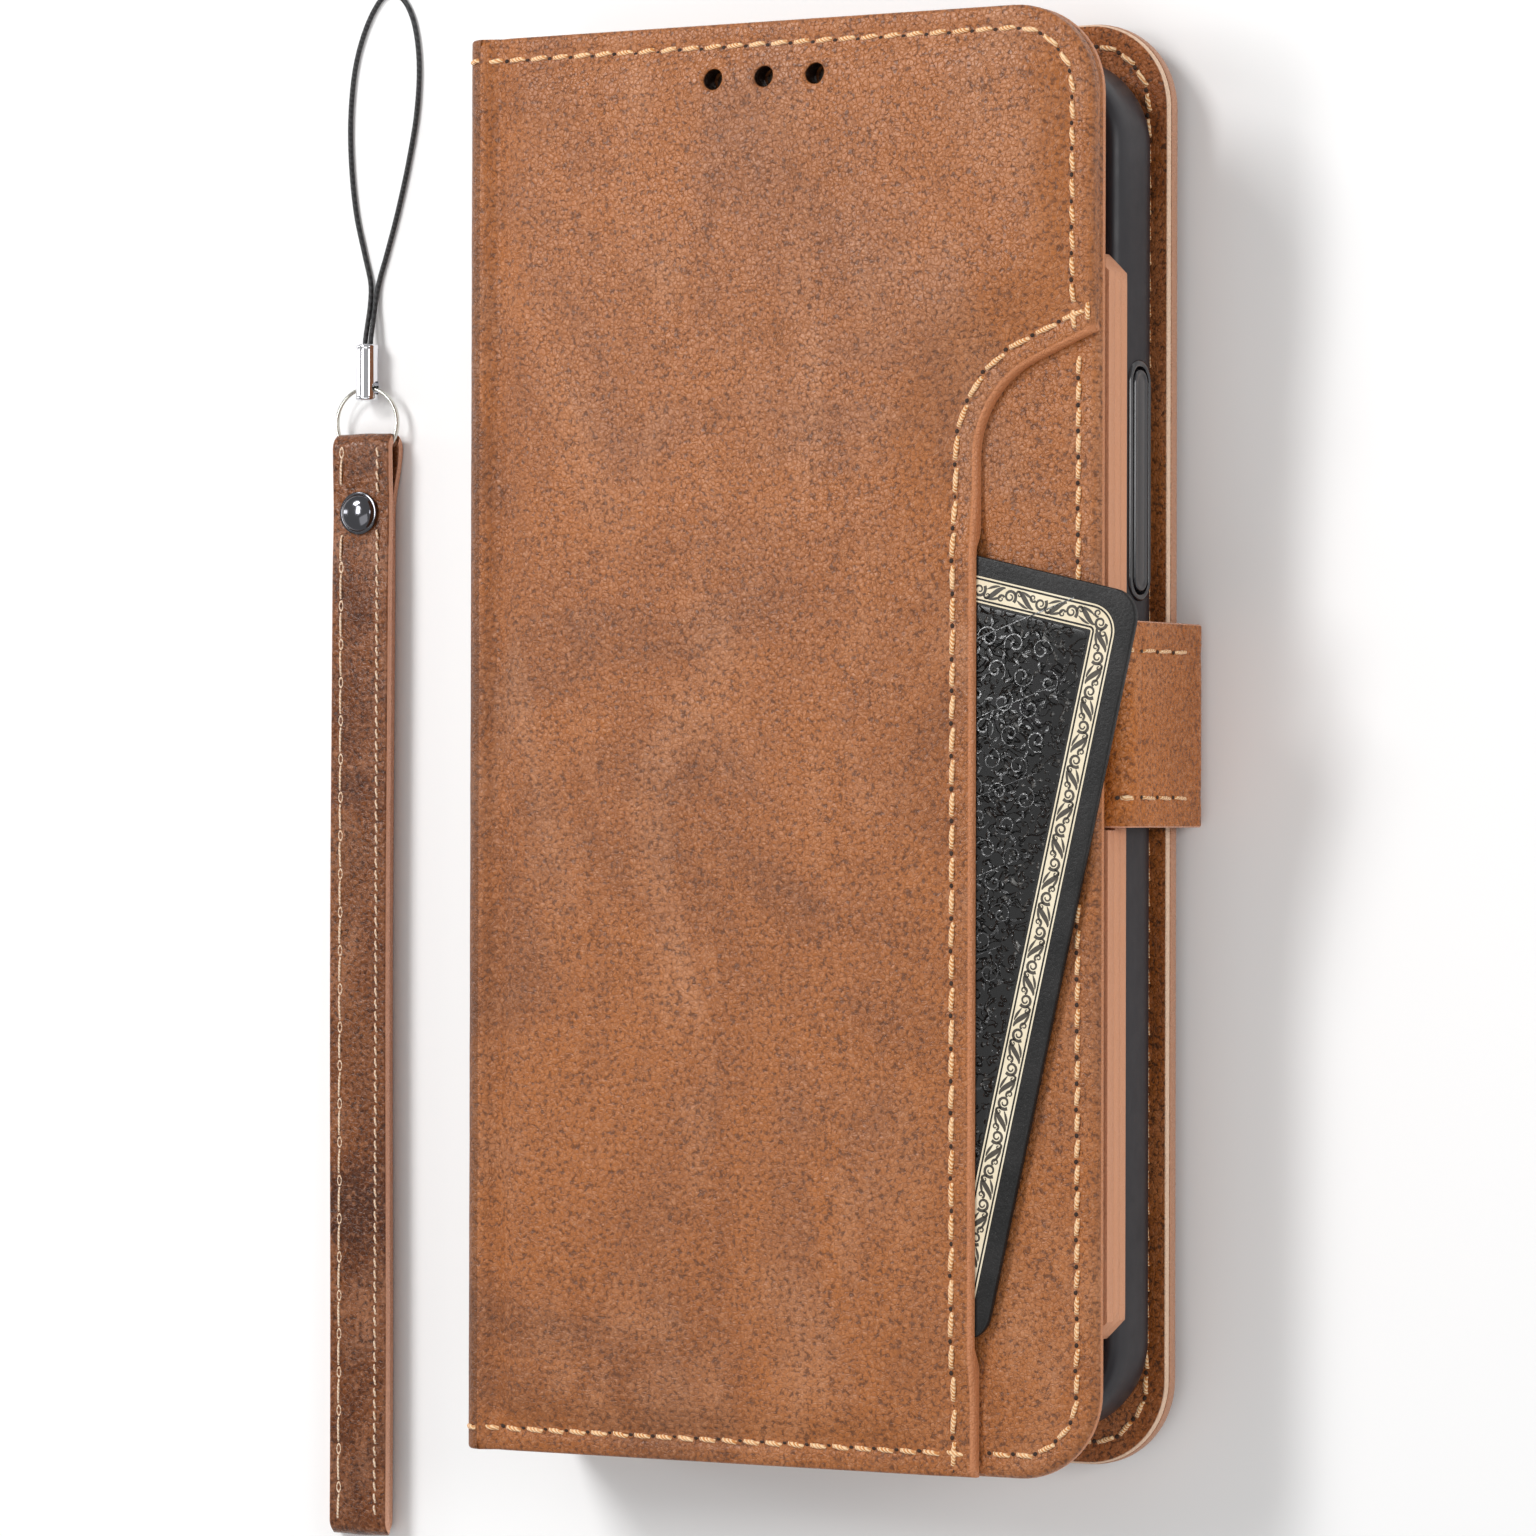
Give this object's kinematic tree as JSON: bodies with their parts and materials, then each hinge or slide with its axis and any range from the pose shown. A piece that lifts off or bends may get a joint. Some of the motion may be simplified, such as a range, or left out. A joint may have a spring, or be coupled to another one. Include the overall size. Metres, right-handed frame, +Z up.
{
  "type": "phone wallet case",
  "caption": "Folding leather phone wallet with a soft phone tray, an outer card pocket holding a card, a wrap-round clasp and a separate wrist strap on a cord loop.",
  "frame": {"origin": "on the surface that the case lies on, under the middle of the closed case's back cover", "axes": "+Z up, out of the front cover; +Y along the case to its top end, where the sound holes are; +X to the opening side, with the spine and the wrist strap at -X"},
  "size_m": [0.1165, 0.1873, 0.0257],
  "materials": {
    "brown_leather": "painted pebble-grain leather, brown with grey and orange patches",
    "spine_leather": "the same leather, more orange where it rolls over the spine",
    "strap_leather": "smooth brown leather with dark streaks",
    "dark_lining": "dark brown smooth lining",
    "salmon_lining": "pale salmon smooth leather",
    "board": "grey fibre board",
    "thread": "orange waxed thread",
    "pale_thread": "cream waxed thread",
    "black_rubber": "satin black soft plastic",
    "steel": "plain steel",
    "card_plastic": "black card with cream scrollwork",
    "dark_chrome": "dark polished nickel",
    "bright_wire": "bright chrome",
    "black_cord": "fine black braided cord"
  },
  "bodies": {
    "back_cover": {"back_leather": "brown_leather", "back_board": "board", "back_lining": "dark_lining", "back_stitching": "thread", "steel_plate": "steel", "phone_tray": "black_rubber"},
    "volume_key": {"volume_cover": "black_rubber"},
    "power_key": {"power_cover": "black_rubber"},
    "spine": {"spine_leather": "spine_leather", "spine_lining": "dark_lining"},
    "front_cover": {"front_base": "brown_leather", "front_pocket": "brown_leather", "front_board": "board", "front_lining": "salmon_lining", "cash_panel": "salmon_lining", "slot_panel": "salmon_lining", "slot_face": "salmon_lining", "front_stitching": "thread", "pocket_stitching": "thread", "clasp_root": "brown_leather"},
    "loose_card": {"card": "card_plastic"},
    "clasp": {"clasp_strap": "brown_leather", "clasp_lining": "salmon_lining", "clasp_stitching": "thread"},
    "tab": {"clasp_tab": "brown_leather", "clasp_tab_lining": "salmon_lining", "clasp_magnet": "steel"},
    "wrist_strap": {"wrist_leather": "strap_leather", "wrist_stitching": "pale_thread", "wrist_rivet": "dark_chrome"},
    "ring": {"wrist_ring": "bright_wire"},
    "sleeve": {"cord_sleeve": "bright_wire", "cord": "black_cord"}
  },
  "joints": [
    {"name": "spine_fold", "type": "hinge", "parent": "back_cover", "child": "spine", "pos_m": [-0.03854, 0, 0.002], "axis": [0, -1, 0], "range_deg": [0, 70], "deforming": ["clasp_tab", "clasp_tab_lining", "clasp_magnet"]},
    {"name": "cover_fold", "type": "hinge", "parent": "spine", "child": "front_cover", "pos_m": [-0.03914, 0, 0.0211], "axis": [0, -1, 0], "range_deg": [0, 110], "deforming": ["clasp_tab", "clasp_tab_lining", "clasp_magnet"]},
    {"name": "clasp_swing", "type": "hinge", "parent": "front_cover", "child": "clasp", "pos_m": [0.04173, 0.002, 0.02022], "axis": [0, -1, 0], "range_deg": [0, 90]},
    {"name": "tab_turn", "type": "hinge", "parent": "clasp", "child": "tab", "pos_m": [0.04231, 0.002, 0.00142], "axis": [0, -1, 0], "range_deg": [0, 90]},
    {"name": "card_slide", "type": "slide", "parent": "front_cover", "child": "loose_card", "axis": [0.9739, -0.225, 0.0304], "range_m": [-0.004, 0.04]},
    {"name": "volume_press", "type": "slide", "parent": "back_cover", "child": "volume_key", "axis": [-0.9995, 0, -0.0312], "range_m": [0, 0.0004], "stiffness_N_per_m": 400},
    {"name": "power_press", "type": "slide", "parent": "back_cover", "child": "power_key", "axis": [-0.9995, 0, -0.0312], "range_m": [0, 0.0004], "stiffness_N_per_m": 400},
    {"name": "wrist_lift", "type": "slide", "parent": "back_cover", "child": "wrist_strap", "axis": [0, 0, 1], "range_m": [0, 0.06]},
    {"name": "ring_turn", "type": "hinge", "parent": "wrist_strap", "child": "ring", "pos_m": [-0.067, 0.0392, 0.00195], "axis": [0, 0, 1], "continuous": true},
    {"name": "sleeve_flip", "type": "hinge", "parent": "wrist_strap", "child": "sleeve", "pos_m": [-0.067, 0.04345, 0.00195], "axis": [1, 0, 0], "range_deg": [0, 120]}
  ]
}
